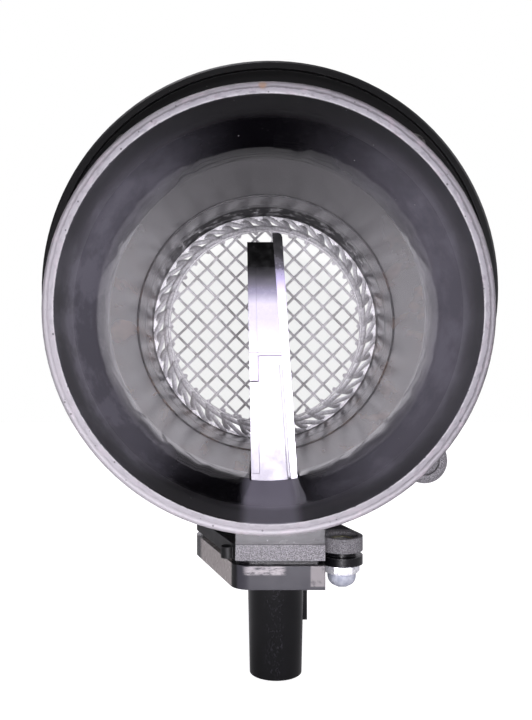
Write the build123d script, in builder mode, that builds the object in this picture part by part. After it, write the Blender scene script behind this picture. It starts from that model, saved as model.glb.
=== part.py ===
from build123d import *
import os
from math import asin, cos, degrees, hypot, radians, sin

# Mass airflow sensor, plug-in kind. The tube's axis is Y: y = 0 is the end plane of the
# outlet rim and the air comes in at the far end. Z is up, and the connector points down.
# All sizes are in millimetres and degrees.

# Bore: the inlet's radius, and how far each stretch towards the outlet is wider
bore_r = 37.8
throat_step = 0.3
throat_taper = 1.3
cone_rise = 4.8
mouth_rise = 1.2
mouth_l = 10.3
cone_l = 12.7
throat_l = 46.0
tube_l = 106.0

# Outlet spigot and its rim
spigot_l = 17.0
rim_wall = 2.6
rim_bevel = 1.2
rim_round = 0.6

# Barrel between the hose stop and the flange, with its fins
collar_h = 1.6
collar_t = 2.5
barrel_near_wall = 4.6
barrel_far_wall = 3.9
fin_count = 8
fin_turn = 22.5
fin_t = 1.8
fin_gap = 1.0
fin_sink = 1.0
hoop_t = 1.6
hoop_h = 2.4

# Flange: round and off-centre, with one lug
flange_y = 60.0
flange_t = 4.5
flange_reach = 17.1
flange_x = 1.1
flange_lift = 1.9
flange_bevel = 0.8
lip_w = 2.4
lip_h = 1.6
lug_angle = -48.0
lug_r = 6.5
lug_reach = 7.3
bolt_edge = 7.1
bolt_count = 4
bolt_turn = 45.0
sleeve_r = 3.6
sleeve_bore_r = 2.75

# Inlet spigot with its seal, and the seat of the mesh
inlet_wall = 2.6
inlet_lead = 1.0
seal_groove_w = 3.2
seal_groove_d = 2.1
seal_groove_back = 7.8
seal_proud = 1.0
seal_valley = 0.4
mesh_ledge = 1.1
mesh_seat_d = 3.0

# Mesh: square cells set on their corners, and a sloping border
mesh_t = 0.7
dish_h = 10.2
dish_slope = 6.0
hem_w = 1.6
mesh_pitch = 4.5
wire_w = 0.8
cell_edge = 0.5
hem_cells = 36
hem_cell_l = 4.2
hem_cell_w = 1.8
hem_cell_tilt = 70.0
ring_t = 1.5
ring_w = 1.45
ring_gap = 7.0
seat_gap = 0.05

# Module seat under the tube
module_x = 2.2
module_y = 41.0
seat_reach = 9.7
pad_t = 3.5
neck_inset = 1.4
neck_into = 1.2
plate_w = 22.4
plate_l = 46.0
plate_corner = 5.0
near_ear_out = 5.0
near_ear_y = -11.5
near_ear_r = 5.2
far_ear_out = 4.0
far_ear_y = 11.5
far_ear_r = 6.2
peg_r = 1.6
peg_h = 2.7
peg_x = 0.5
peg_y = 3.5
boss_recess_r = 4.0
boss_recess_d = 0.8

# Module plate and plug
step_t = 1.2
step_inset = 1.6
plate_t = 5.6
ear_t = 2.1
plug_w = 15.0
plug_l = 36.8
plug_y = -1.0
plug_corner = 3.2
plug_gap = 0.3
plug_h = 11.9
plug_groove_w = 2.8
plug_groove_d = 1.6
plug_groove_up = 4.8
seal_squeeze = 0.05
seal_slack = 0.2

# Finger: leaning edges, each given by its distance from the module's middle at the root
# and at the tip
finger_y = 22.6
chord = 27.4
root_sink = 0.6
finger_l = 57.3
skin_root = -6.1
skin_tip = -7.1
lid_root = -4.1
lid_tip = -5.1
wall_root = 3.5
wall_tip = -0.9
heat_root = 5.0
heat_tip = 1.4
finger_gap = 0.4
slot_rise = 10.0
split_z = -9.8
tongue_l = 6.1
lid_foot = 2.0
lid_gap = 0.2
heat_rise = 2.3
heat_set_back = 0.6
heat_round = 1.2
shade_w = 0.8
shade_d = 2.0
shade_l = 28.0

# Measuring channel in the finger's upper half
channel_floor = -1.6
channel_w = 6.0
bend_y = 12.9
bend_z = 3.0
bend_r = 3.5
outlet_leg_l = 7.5
notch_l = 4.5
notch_low = -8.0
notch_h = 11.0
notch_floor = -1.2

# Electronics tray and what it holds
tray_near = 3.4
tray_far = 1.3
tray_foot = 3.5
tray_head = 7.7
tray_floor = -0.2
board_t = 0.7
board_edge = 0.6
board_foot = 2.5
gel_t = 1.5

# Parts on the board: shares of its length and height, then length, height and thickness
chip_rows = (
    (0.30, 0.35, 7.0, 6.0, 1.3),
    (0.70, 0.30, 4.4, 4.4, 1.1),
    (0.72, 0.72, 3.2, 2.0, 0.9),
    (0.20, 0.80, 2.0, 1.3, 0.8),
    (0.42, 0.80, 2.0, 1.3, 0.8),
)

# Sensing strip in the measuring channel, and the temperature bead in the nose's notch
blade_t = 1.0
blade_w = 6.0
blade_x = -3.1
blade_y = 16.0
blade_foot = 2.0
blade_tip_z = -1.4
blade_fit = 0.1
film_t = 0.3
film_w = 3.4
film_l = 3.6
lead_r = 0.3
lead_pitch = 1.0
lead_x = -3.4
lead_back = 2.4
lead_foot = 1.0
bead_r = 1.2
bead_taper = 0.8
bead_l = 4.2
bead_z = -1.2

# Connector barrel, its socket and terminals
shroud_w = 14.35
shroud_l = 26.0
shroud_h = 25.5
shroud_draft = 0.57
shroud_wall = 1.3
socket_d = 21.5
nose_h = 1.0
nose_w = 6.0
nose_l = 13.5
pin_count = 5
pin_pitch = 3.4
pin_t = 0.8
pin_recess = 7.5
pin_jog = 0.9
pin_rise = 1.5

# Screws, washers and threaded inserts
hex_r = 4.45
hex_t = 2.2
hex_bore_r = 2.1
head_r = 3.55
head_h = 3.5
head_edge = 0.8
drive_r = 1.7
drive_d = 1.6
shank_r = 1.95
insert_r = 2.9
insert_bore_r = 2.0
insert_short = 0.2
hole_r = 2.2
sink_gap = 0.3

# How far a cutter runs past the face that it cuts
overrun = 1.0

# Heights and places that follow from the sizes
throat_y = mouth_l + cone_l
throat_end_r = bore_r + throat_step
throat_r = throat_end_r + throat_taper
mouth_r = throat_r + cone_rise
rim_r = mouth_r + mouth_rise
outlet_r = rim_r + rim_wall
barrel_near_r = throat_r + barrel_near_wall
barrel_far_r = throat_end_r + barrel_far_wall
mesh_seat_r = bore_r + mesh_ledge
inlet_r = mesh_seat_r + inlet_wall
hem_r = mesh_seat_r - hem_w
dish_r = hem_r - dish_slope
cell_reach = dish_r - cell_edge
seat_drop = outlet_r + seat_reach
flange_r = outlet_r + flange_reach
flange_z = flange_r - seat_drop + flange_lift
root_z = -(throat_r + root_sink)
tip_z = root_z + finger_l
collar_r = outlet_r + collar_h
collar_y = spigot_l + collar_t
groove_far_y = tube_l - seal_groove_back
groove_near_y = groove_far_y - seal_groove_w
mesh_seat_y = tube_l - mesh_seat_d
dish_y = mesh_seat_y - dish_h
seat_z = -seat_drop
step_z = seat_z - step_t
plate_z = step_z - plate_t
ear_z = step_z - ear_t
hex_z = ear_z - hex_t
head_z = hex_z - head_h
plug_top = seat_z + plug_h
mouth_z = plate_z - shroud_h
pin_tip_z = mouth_z + pin_recess
lid_z = root_z + lid_foot
tongue_z = split_z - tongue_l
tray_low = root_z + tray_foot
tray_high = split_z - tray_head
finger_far = finger_y + chord
near_ear = (module_x + plate_w / 2 + near_ear_out, module_y + near_ear_y)
far_ear = (module_x - plate_w / 2 - far_ear_out, module_y + far_ear_y)
ears = (near_ear, far_ear)
skin = (skin_root, skin_tip)
lid = (lid_root, lid_tip)
wall = (wall_root, wall_tip)
heat = (heat_root, heat_tip)


def cross(y):
    """Plane across the tube at y. Its own x and y run along +X and +Z."""
    return Plane.XZ.offset(-y)


def level(z):
    """Horizontal plane at height z."""
    return Plane.XY.offset(z)


def flank(x):
    """Plane along the tube at x. Its own x and y run along +Y and +Z."""
    return Plane.YZ.offset(x)


def edge_x(edge, z):
    """X of one of the finger's leaning edges at height z."""
    root, tip = edge
    return module_x + root + (tip - root) * (z - root_z) / (tip_z - root_z)


def strip(y, z_low, z_high, left, right, spread=0.0):
    """Face across the flow between two leaning edges, each moved out by spread."""
    with BuildSketch(cross(y)) as face:
        with BuildLine():
            Polyline(
                (edge_x(left, z_low) - spread, z_low),
                (edge_x(right, z_low) + spread, z_low),
                (edge_x(right, z_high) + spread, z_high),
                (edge_x(left, z_high) - spread, z_high),
                close=True,
            )
        make_face()
    return face.sketch


def flange_outline(y, inset=0.0):
    """Flange with its lug on the plane across the tube at y, pulled in by inset."""
    lug_out = flange_r + lug_reach - lug_r
    lug_x = flange_x + lug_out * cos(radians(lug_angle))
    lug_z = flange_z + lug_out * sin(radians(lug_angle))
    root_x = flange_x + (lug_out - 2 * lug_r) * cos(radians(lug_angle))
    root_y = flange_z + (lug_out - 2 * lug_r) * sin(radians(lug_angle))
    with BuildSketch() as lug:
        with Locations((lug_x, lug_z)):
            Circle(lug_r)
        with Locations((root_x, root_y)):
            Circle(2 * lug_r)
        make_hull()
    with BuildSketch(cross(y)) as outline:
        with Locations((flange_x, flange_z)):
            Circle(flange_r)
        add(lug.sketch)
        if inset:
            offset(amount=-inset)
    return outline.sketch


def plate_outline(z, near_ear_too=True, inset=0.0):
    """Outline of the module's seat at height z, pulled in by inset."""
    left_x = module_x - plate_w / 2 + plate_corner
    right_x = module_x + plate_w / 2
    low_y = module_y - plate_l / 2 + plate_corner
    high_y = module_y + plate_l / 2 - plate_corner
    with BuildSketch() as left_side:
        with Locations((left_x, low_y), (left_x, high_y)):
            Circle(plate_corner)
        with Locations(far_ear):
            Circle(far_ear_r)
        make_hull()
    with BuildSketch() as right_side:
        with Locations((right_x - plate_corner, high_y)):
            Circle(plate_corner)
        with Locations(near_ear):
            Circle(near_ear_r)
        make_hull()
    with BuildSketch(level(z)) as outline:
        with Locations(((left_x + right_x) / 2, module_y)):
            Rectangle(right_x - left_x, plate_l)
        add(left_side.sketch)
        if near_ear_too:
            add(right_side.sketch)
        if inset:
            offset(amount=-inset)
    return outline.sketch


def plug_outline(z, inset=0.0):
    """Rounded outline of the plug pocket at height z, pulled in by inset."""
    with BuildSketch(level(z)) as outline:
        with Locations((module_x, module_y + plug_y)):
            RectangleRounded(plug_w - 2 * inset, plug_l - 2 * inset, plug_corner - inset)
    return outline.sketch


def mesh_cells():
    """Middles of the mesh's whole cells, as places across the tube."""
    steps = int(cell_reach / mesh_pitch) + 1
    places = []
    for row in range(-steps, steps):
        for column in range(-steps, steps):
            across = (column + 0.5) * mesh_pitch
            along = (row + 0.5) * mesh_pitch
            half = (mesh_pitch - wire_w) / 2
            if hypot(abs(across) + half, abs(along) + half) < cell_reach:
                places.append(((across - along) * sin(radians(45)), (across + along) * sin(radians(45))))
    return places


def screw_profile(x, y):
    """Half section of a dome-headed screw whose axis stands at x, y."""
    dome_h = head_h - head_edge
    dome_r = (head_r**2 + dome_h**2) / (2 * dome_h)
    shank_z = seat_z + pad_t - boss_recess_d - insert_short
    with BuildSketch(cross(y)) as section:
        with BuildLine():
            dome = CenterArc((x, head_z + dome_r), dome_r, -90, degrees(asin(head_r / dome_r)))
            Polyline(
                dome @ 1,
                (x + head_r, hex_z),
                (x + shank_r, hex_z),
                (x + shank_r, shank_z),
                (x, shank_z),
                dome @ 0,
            )
        make_face()
    return section.sketch


def pin_face(y):
    """Side view of one terminal, which steps aside inside the plug."""
    low_x = module_x
    high_x = module_x - pin_jog
    half = pin_t / 2
    with BuildSketch(cross(y)) as face:
        with BuildLine():
            Polyline(
                (low_x - half, pin_tip_z),
                (low_x + half, pin_tip_z),
                (low_x + half, step_z),
                (high_x + half, seat_z + step_t),
                (high_x + half, tray_low + pin_rise),
                (high_x - half, tray_low + pin_rise),
                (high_x - half, seat_z + step_t),
                (low_x - half, step_z),
                close=True,
            )
        make_face()
    return face.sketch


# Housing: flange first, then the turned tube, the fins, the module seat and the cuts
with BuildPart() as housing:
    extrude(flange_outline(flange_y), amount=-flange_t)
    with BuildSketch(cross(flange_y)):
        add(flange_outline(flange_y))
        add(flange_outline(flange_y, inset=lip_w), mode=Mode.SUBTRACT)
    extrude(amount=lip_h)
    chamfer(housing.faces().sort_by(Axis.Y)[0].outer_wire().edges(), flange_bevel)
    chamfer(housing.faces().sort_by(Axis.Y)[-1].outer_wire().edges(), flange_bevel)
    with BuildSketch(Plane.XY):
        with BuildLine():
            Polyline(
                (0, 0),
                (outlet_r - rim_round, 0),
                (outlet_r, rim_round),
                (outlet_r, spigot_l),
                (collar_r, spigot_l),
                (collar_r, collar_y),
                (barrel_near_r, collar_y),
                (barrel_far_r, flange_y),
                (inlet_r, flange_y),
                (inlet_r, groove_near_y),
                (inlet_r - seal_groove_d, groove_near_y),
                (inlet_r - seal_groove_d, groove_far_y),
                (inlet_r, groove_far_y),
                (inlet_r, tube_l - inlet_lead),
                (inlet_r - inlet_lead, tube_l),
                (0, tube_l),
                close=True,
            )
        make_face()
    revolve(axis=Axis.Y)
    fin_reach = collar_r - fin_gap
    fin_root_r = barrel_far_r - fin_sink
    with BuildSketch(cross(collar_y)):
        with PolarLocations((fin_reach + fin_root_r) / 2, fin_count, start_angle=fin_turn):
            Rectangle(fin_reach - fin_root_r, fin_t)
    extrude(amount=-(flange_y - collar_y))
    with BuildSketch(cross((collar_y + flange_y - hoop_t) / 2)):
        Circle(barrel_near_r + hoop_h)
    extrude(amount=-hoop_t)
    extrude(plate_outline(seat_z), amount=pad_t)
    with Locations((module_x - plate_w / 2 - peg_x, module_y - plate_l / 2 + peg_y, seat_z)):
        Cylinder(peg_r, peg_h, align=(Align.CENTER, Align.CENTER, Align.MIN))
    with BuildSketch(level(seat_z)):
        with Locations((module_x + neck_inset / 2, module_y)):
            Rectangle(plate_w - neck_inset, plate_l)
    extrude(amount=seat_drop - throat_r - neck_into)
    with BuildSketch(Plane.XY):
        with BuildLine():
            Polyline(
                (0, -overrun),
                (rim_r + rim_bevel + overrun, -overrun),
                (rim_r, rim_bevel),
                (mouth_r, mouth_l),
                (throat_r, throat_y),
                (throat_end_r, throat_y + throat_l),
                (bore_r, throat_y + throat_l),
                (bore_r, mesh_seat_y),
                (mesh_seat_r, mesh_seat_y),
                (mesh_seat_r, tube_l + overrun),
                (0, tube_l + overrun),
                close=True,
            )
        make_face()
    revolve(axis=Axis.Y, mode=Mode.SUBTRACT)
    extrude(plug_outline(seat_z), amount=plug_h + plug_gap, mode=Mode.SUBTRACT)
    extrude(
        strip(finger_y - finger_gap, plug_top, root_z + slot_rise, skin, heat, spread=finger_gap),
        amount=-(chord + 2 * finger_gap),
        mode=Mode.SUBTRACT,
    )
    with BuildSketch(level(seat_z)):
        with Locations(*ears):
            Circle(insert_r)
    extrude(amount=pad_t, mode=Mode.SUBTRACT)
    with BuildSketch(level(seat_z + pad_t - boss_recess_d)):
        with Locations(*ears):
            Circle(boss_recess_r)
    extrude(amount=boss_recess_d, mode=Mode.SUBTRACT)
    with BuildSketch(cross(flange_y)):
        with Locations((flange_x, flange_z)):
            with PolarLocations(flange_r - bolt_edge, bolt_count, start_angle=bolt_turn):
                Circle(sleeve_r)
    extrude(amount=-flange_t, mode=Mode.SUBTRACT)
housing.part.label = "housing"

with BuildPart() as flange_sleeves:
    with BuildSketch(cross(flange_y)):
        with Locations((flange_x, flange_z)):
            with PolarLocations(flange_r - bolt_edge, bolt_count, start_angle=bolt_turn):
                Circle(sleeve_r)
                Circle(sleeve_bore_r, mode=Mode.SUBTRACT)
    extrude(amount=-flange_t)
flange_sleeves.part.label = "flange_sleeves"

with BuildPart() as inlet_seal:
    seal_foot_r = inlet_r - seal_groove_d + seat_gap
    seal_near_y = groove_near_y + seat_gap
    seal_far_y = groove_far_y - seat_gap
    with BuildSketch(Plane.XY):
        with BuildLine():
            Polyline(
                (seal_foot_r, seal_near_y),
                (inlet_r, seal_near_y),
                (inlet_r + seal_proud, seal_near_y + seal_groove_w / 4),
                (inlet_r + seal_valley, (seal_near_y + seal_far_y) / 2),
                (inlet_r + seal_proud, seal_far_y - seal_groove_w / 4),
                (inlet_r, seal_far_y),
                (seal_foot_r, seal_far_y),
                close=True,
            )
        make_face()
    revolve(axis=Axis.Y)
inlet_seal.part.label = "inlet_seal"

# Mesh: a shallow dish with a sloping border, whose hem lies on the seat
with BuildPart() as mesh_screen:
    hem_edge_r = mesh_seat_r - seat_gap
    with BuildSketch(Plane.XY):
        with BuildLine():
            Polyline(
                (0, dish_y),
                (dish_r, dish_y),
                (hem_r, mesh_seat_y),
                (hem_edge_r, mesh_seat_y),
                (hem_edge_r, mesh_seat_y + mesh_t),
                (hem_r - mesh_t, mesh_seat_y + mesh_t),
                (dish_r - mesh_t / 2, dish_y + mesh_t),
                (0, dish_y + mesh_t),
                close=True,
            )
        make_face()
    revolve(axis=Axis.Y)
    with BuildSketch(cross(dish_y)):
        with Locations(*mesh_cells()):
            Rectangle(mesh_pitch - wire_w, mesh_pitch - wire_w, rotation=45)
    extrude(amount=-mesh_t, mode=Mode.SUBTRACT)
    with BuildSketch(cross(dish_y)):
        with PolarLocations((dish_r + hem_r) / 2, hem_cells):
            Rectangle(hem_cell_l, hem_cell_w, rotation=hem_cell_tilt)
    extrude(amount=-(dish_h + mesh_t), mode=Mode.SUBTRACT)
mesh_screen.part.label = "mesh_screen"

with BuildPart() as mesh_ring:
    ring_r = mesh_seat_r - seat_gap
    ring_y = mesh_seat_y + mesh_t
    with BuildSketch(cross(ring_y)):
        Circle(ring_r)
        Circle(ring_r - ring_w, mode=Mode.SUBTRACT)
        with Locations((0, ring_r)):
            Rectangle(ring_gap, 4 * ring_w, mode=Mode.SUBTRACT)
    extrude(amount=-ring_t)
mesh_ring.part.label = "mesh_ring"

with BuildPart() as connector_pins:
    for place in range(pin_count):
        pin_y = module_y + (place - (pin_count - 1) / 2) * pin_pitch - pin_t / 2
        extrude(pin_face(pin_y), amount=-pin_t)
connector_pins.part.label = "connector_pins"

with BuildPart() as chip_carrier:
    blade_low = tray_high - blade_foot
    with BuildSketch(level(blade_low)):
        with Locations((module_x + blade_x, finger_y + blade_y)):
            Rectangle(blade_t, blade_w)
    extrude(amount=blade_tip_z - blade_low)
chip_carrier.part.label = "chip_carrier"

with BuildPart() as sensor_chip:
    with BuildSketch(flank(module_x + blade_x - blade_t / 2)):
        with Locations((finger_y + blade_y, blade_tip_z - film_l / 2 - film_t)):
            Rectangle(film_w, film_l)
    extrude(amount=-film_t)
sensor_chip.part.label = "sensor_chip"

lead_spots = []
for side in (-0.5, 0.5):
    lead_spots.append((module_x + lead_x + side * lead_pitch, finger_far - lead_back))
with BuildPart() as temperature_leads:
    lead_low = tray_high - lead_foot
    with BuildSketch(level(lead_low)):
        with Locations(*lead_spots):
            Circle(lead_r)
    extrude(amount=bead_z - bead_l / 2 + bead_r / 2 - lead_low)
temperature_leads.part.label = "temperature_leads"

with BuildPart() as temperature_bead:
    with Locations((module_x + lead_x, finger_far - lead_back, bead_z)):
        Cylinder(bead_r, bead_l)
    chamfer(temperature_bead.edges().filter_by(GeomType.CIRCLE), bead_taper)
    add(temperature_leads.part, mode=Mode.SUBTRACT)
temperature_bead.part.label = "temperature_bead"

# Module: plate, raised step, plug, lower half of the finger and connector barrel
with BuildPart() as module_body:
    extrude(plate_outline(step_z), amount=-ear_t)
    extrude(plate_outline(ear_z, near_ear_too=False), amount=ear_t - plate_t)
    extrude(plate_outline(step_z, inset=step_inset), amount=step_t)
    extrude(plug_outline(seat_z, inset=plug_gap), amount=plug_h)
    groove_z = seat_z + plug_groove_up
    extrude(plug_outline(groove_z, inset=plug_gap), amount=plug_groove_w, mode=Mode.SUBTRACT)
    extrude(plug_outline(groove_z, inset=plug_gap + plug_groove_d), amount=plug_groove_w)
    extrude(strip(finger_y, plug_top, root_z, skin, heat), amount=-chord)
    extrude(strip(finger_y, root_z, lid_z, skin, wall), amount=-chord)
    extrude(strip(finger_y, lid_z, split_z, lid, wall), amount=-chord)
    with BuildSketch(flank(module_x + tray_floor)):
        with Locations((finger_y + tray_near, tray_low)):
            Rectangle(
                chord - tray_near - tray_far,
                tray_high - tray_low,
                align=(Align.MIN, Align.MIN),
            )
    extrude(amount=-chord, mode=Mode.SUBTRACT)
    with BuildSketch(level(tray_high)):
        with Locations((module_x + blade_x, finger_y + blade_y)):
            Rectangle(blade_t, blade_w + 2 * blade_fit)
    extrude(amount=split_z - tray_high, mode=Mode.SUBTRACT)
    extrude(
        strip(finger_y, root_z, root_z + shade_l, (wall_root - shade_w, wall_tip - shade_w), wall),
        amount=-shade_d,
        mode=Mode.SUBTRACT,
    )
    with BuildSketch(level(plate_z)):
        with Locations((module_x, module_y)):
            SlotOverall(shroud_l, shroud_w, rotation=90)
    with BuildSketch(level(mouth_z)):
        with Locations((module_x, module_y)):
            SlotOverall(shroud_l - 2 * shroud_draft, shroud_w - 2 * shroud_draft, rotation=90)
    loft()
    with BuildSketch(level(plate_z)):
        with Locations((module_x + shroud_w / 2, module_y)):
            Rectangle(2 * nose_h, nose_w)
    extrude(amount=-nose_l)
    socket_inset = 2 * (shroud_draft + shroud_wall)
    with BuildSketch(level(mouth_z)):
        with Locations((module_x, module_y)):
            SlotOverall(shroud_l - socket_inset, shroud_w - socket_inset, rotation=90)
    extrude(amount=socket_d, mode=Mode.SUBTRACT)
    with BuildSketch(level(plate_z)):
        with Locations(*ears):
            Circle(hole_r)
    extrude(amount=seat_z - plate_z, mode=Mode.SUBTRACT)
    with BuildSketch(level(plate_z)):
        with Locations(far_ear):
            Circle(hex_r + sink_gap)
    extrude(amount=plate_t - ear_t, mode=Mode.SUBTRACT)
    add(connector_pins.part, mode=Mode.SUBTRACT)
    add(temperature_leads.part, mode=Mode.SUBTRACT)
module_body.part.label = "module_body"

with BuildPart() as module_seal:
    extrude(
        plug_outline(groove_z + seal_slack, inset=seal_squeeze),
        amount=plug_groove_w - 2 * seal_slack,
    )
    extrude(
        plug_outline(groove_z, inset=plug_gap + plug_groove_d - seal_squeeze),
        amount=plug_groove_w,
        mode=Mode.SUBTRACT,
    )
module_seal.part.label = "module_seal"

# Upper half of the finger: a measuring channel that bends round to the side
with BuildPart() as channel_body:
    extrude(strip(finger_y, split_z, tip_z, lid, wall), amount=-chord)
    with BuildSketch(flank(module_x + channel_floor)):
        with Locations((finger_y + bend_y, bend_z)):
            Circle(bend_r + channel_w)
            Circle(bend_r, mode=Mode.SUBTRACT)
            Rectangle(
                2 * (bend_r + channel_w),
                2 * (bend_r + channel_w),
                align=(Align.MIN, Align.CENTER),
                mode=Mode.SUBTRACT,
            )
        with Locations((finger_y + bend_y, bend_z + bend_r)):
            Rectangle(chord, channel_w, align=(Align.MIN, Align.MIN))
        with Locations((finger_y + bend_y, bend_z - bend_r - channel_w)):
            Rectangle(outlet_leg_l, channel_w, align=(Align.MIN, Align.MIN))
    extrude(amount=-chord, mode=Mode.SUBTRACT)
    with BuildSketch(flank(module_x + notch_floor)):
        with Locations((finger_far, notch_low)):
            Rectangle(notch_l, notch_h, align=(Align.MAX, Align.MIN))
    extrude(amount=-chord, mode=Mode.SUBTRACT)
    with BuildSketch(level(split_z)):
        with Locations((module_x + blade_x, finger_y + blade_y)):
            Rectangle(blade_t, blade_w + 2 * blade_fit)
    extrude(amount=bend_z - bend_r - channel_w - split_z, mode=Mode.SUBTRACT)
    add(temperature_leads.part, mode=Mode.SUBTRACT)
channel_body.part.label = "channel_body"

with BuildPart() as channel_cover:
    extrude(strip(finger_y, tongue_z, tip_z, skin, lid), amount=-chord)
    with BuildSketch(flank(module_x + lid_root)):
        with Locations((finger_y + bend_y + outlet_leg_l, bend_z - bend_r - channel_w / 2)):
            Rectangle(outlet_leg_l - blade_t, channel_w - blade_t, align=(Align.MAX, Align.CENTER))
        with Locations((finger_far, notch_low)):
            Rectangle(notch_l, notch_h, align=(Align.MAX, Align.MIN))
    extrude(amount=-chord, mode=Mode.SUBTRACT)
channel_cover.part.label = "channel_cover"

with BuildPart() as electronics_cover:
    extrude(strip(finger_y, lid_z, tongue_z - lid_gap, skin, lid), amount=-chord)
electronics_cover.part.label = "electronics_cover"

with BuildPart() as base_plate:
    extrude(
        strip(finger_y + heat_set_back, root_z, tip_z + heat_rise, wall, heat),
        amount=-(chord - 2 * heat_set_back),
    )
    top_edges = base_plate.edges().filter_by(Axis.Y).sort_by(Axis.Z)[-2:]
    fillet(top_edges.sort_by(Axis.X)[-1:], heat_round)
base_plate.part.label = "base_plate"

# Electronics: board on the tray's floor, parts on the board and gel over both
board_near = finger_y + tray_near + board_edge
board_l = chord - tray_near - tray_far - 2 * board_edge
board_low = tray_low + board_foot
board_h = tray_high - board_edge - board_low
board_top_x = module_x + tray_floor - board_t
with BuildPart() as hybrid_board:
    with BuildSketch(flank(board_top_x)):
        with Locations((board_near, board_low)):
            Rectangle(board_l, board_h, align=(Align.MIN, Align.MIN))
    extrude(amount=board_t)
hybrid_board.part.label = "hybrid_board"

with BuildPart() as board_parts:
    for along, up, chip_l, chip_h, chip_t in chip_rows:
        with BuildSketch(flank(board_top_x)):
            with Locations((board_near + along * board_l, board_low + up * board_h)):
                Rectangle(chip_l, chip_h)
        extrude(amount=-chip_t)
board_parts.part.label = "board_parts"

with BuildPart() as potting_gel:
    with BuildSketch(flank(board_top_x)):
        with Locations((finger_y + tray_near, tray_low)):
            Rectangle(
                chord - tray_near - tray_far,
                tray_high - tray_low,
                align=(Align.MIN, Align.MIN),
            )
    extrude(amount=-gel_t)
    add(board_parts.part, mode=Mode.SUBTRACT)
    add(connector_pins.part, mode=Mode.SUBTRACT)
potting_gel.part.label = "potting_gel"

# Fasteners
with BuildPart() as inserts:
    with BuildSketch(level(seat_z)):
        with Locations(*ears):
            Circle(insert_r)
            Circle(insert_bore_r, mode=Mode.SUBTRACT)
    extrude(amount=pad_t - boss_recess_d)
inserts.part.label = "inserts"

with BuildPart() as hex_washers:
    with BuildSketch(level(ear_z)):
        with Locations(*ears):
            RegularPolygon(hex_r, 6)
            Circle(hex_bore_r, mode=Mode.SUBTRACT)
    extrude(amount=-hex_t)
hex_washers.part.label = "hex_washers"

with BuildPart() as screws:
    for ear_x, ear_y in ears:
        revolve(screw_profile(ear_x, ear_y), axis=Axis((ear_x, ear_y, 0), (0, 0, 1)))
    with BuildSketch(level(head_z)):
        with Locations(*ears):
            RegularPolygon(drive_r, 6)
    extrude(amount=drive_d, mode=Mode.SUBTRACT)
screws.part.label = "screws"

nodes = (
    housing,
    flange_sleeves,
    inlet_seal,
    mesh_screen,
    mesh_ring,
    module_body,
    module_seal,
    channel_body,
    channel_cover,
    electronics_cover,
    base_plate,
    hybrid_board,
    board_parts,
    potting_gel,
    chip_carrier,
    sensor_chip,
    temperature_bead,
    temperature_leads,
    connector_pins,
    inserts,
    hex_washers,
    screws,
)
os.makedirs("parts", exist_ok=True)
for node in nodes:
    export_step(node.part, f"parts/{node.part.label}.step")
    print(node.part.label, len(node.part.solids()), round(node.part.volume, 1), node.part.is_valid)
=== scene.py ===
import logging
import math
from dataclasses import dataclass, field
from enum import Enum
from functools import cache
from typing import Any, Callable, Sequence

import bmesh
import bpy
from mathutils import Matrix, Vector


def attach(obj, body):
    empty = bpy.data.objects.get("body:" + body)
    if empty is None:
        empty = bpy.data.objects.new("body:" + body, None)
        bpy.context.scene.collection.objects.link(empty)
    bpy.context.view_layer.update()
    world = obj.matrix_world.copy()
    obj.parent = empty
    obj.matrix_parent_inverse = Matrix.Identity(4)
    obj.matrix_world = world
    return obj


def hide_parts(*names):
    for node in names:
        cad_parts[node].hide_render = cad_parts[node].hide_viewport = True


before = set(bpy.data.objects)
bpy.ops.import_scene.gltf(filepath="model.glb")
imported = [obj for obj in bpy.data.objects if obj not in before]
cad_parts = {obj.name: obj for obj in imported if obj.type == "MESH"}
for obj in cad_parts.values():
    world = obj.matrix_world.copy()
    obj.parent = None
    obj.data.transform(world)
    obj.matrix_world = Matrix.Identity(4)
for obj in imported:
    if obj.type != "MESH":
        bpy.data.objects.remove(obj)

LOG = logging.getLogger("airflow_sensor")
MM = 0.001

Shade = tuple[int, int, int]
Colour = tuple[float, float, float, float]
Stops = Sequence[tuple[float, Colour]]
Spot = tuple[float, float, float]
WHITE: Colour = (1.0, 1.0, 1.0, 1.0)


def display(red: int, green: int, blue: int) -> Colour:
    """Linear colour of a display value from 0 to 255 in each channel."""

    def linear(value: int) -> float:
        """Linear light of one channel."""
        share = value / 255
        return share / 12.92 if share <= 0.04045 else ((share + 0.055) / 1.055) ** 2.4

    return (linear(red), linear(green), linear(blue), 1.0)


def stops(*rows: tuple[float, int, int, int]) -> Stops:
    """Stops of a ramp: the place of each, and its colour as a display value."""
    return tuple((place, display(red, green, blue)) for place, red, green, blue in rows)


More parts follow.
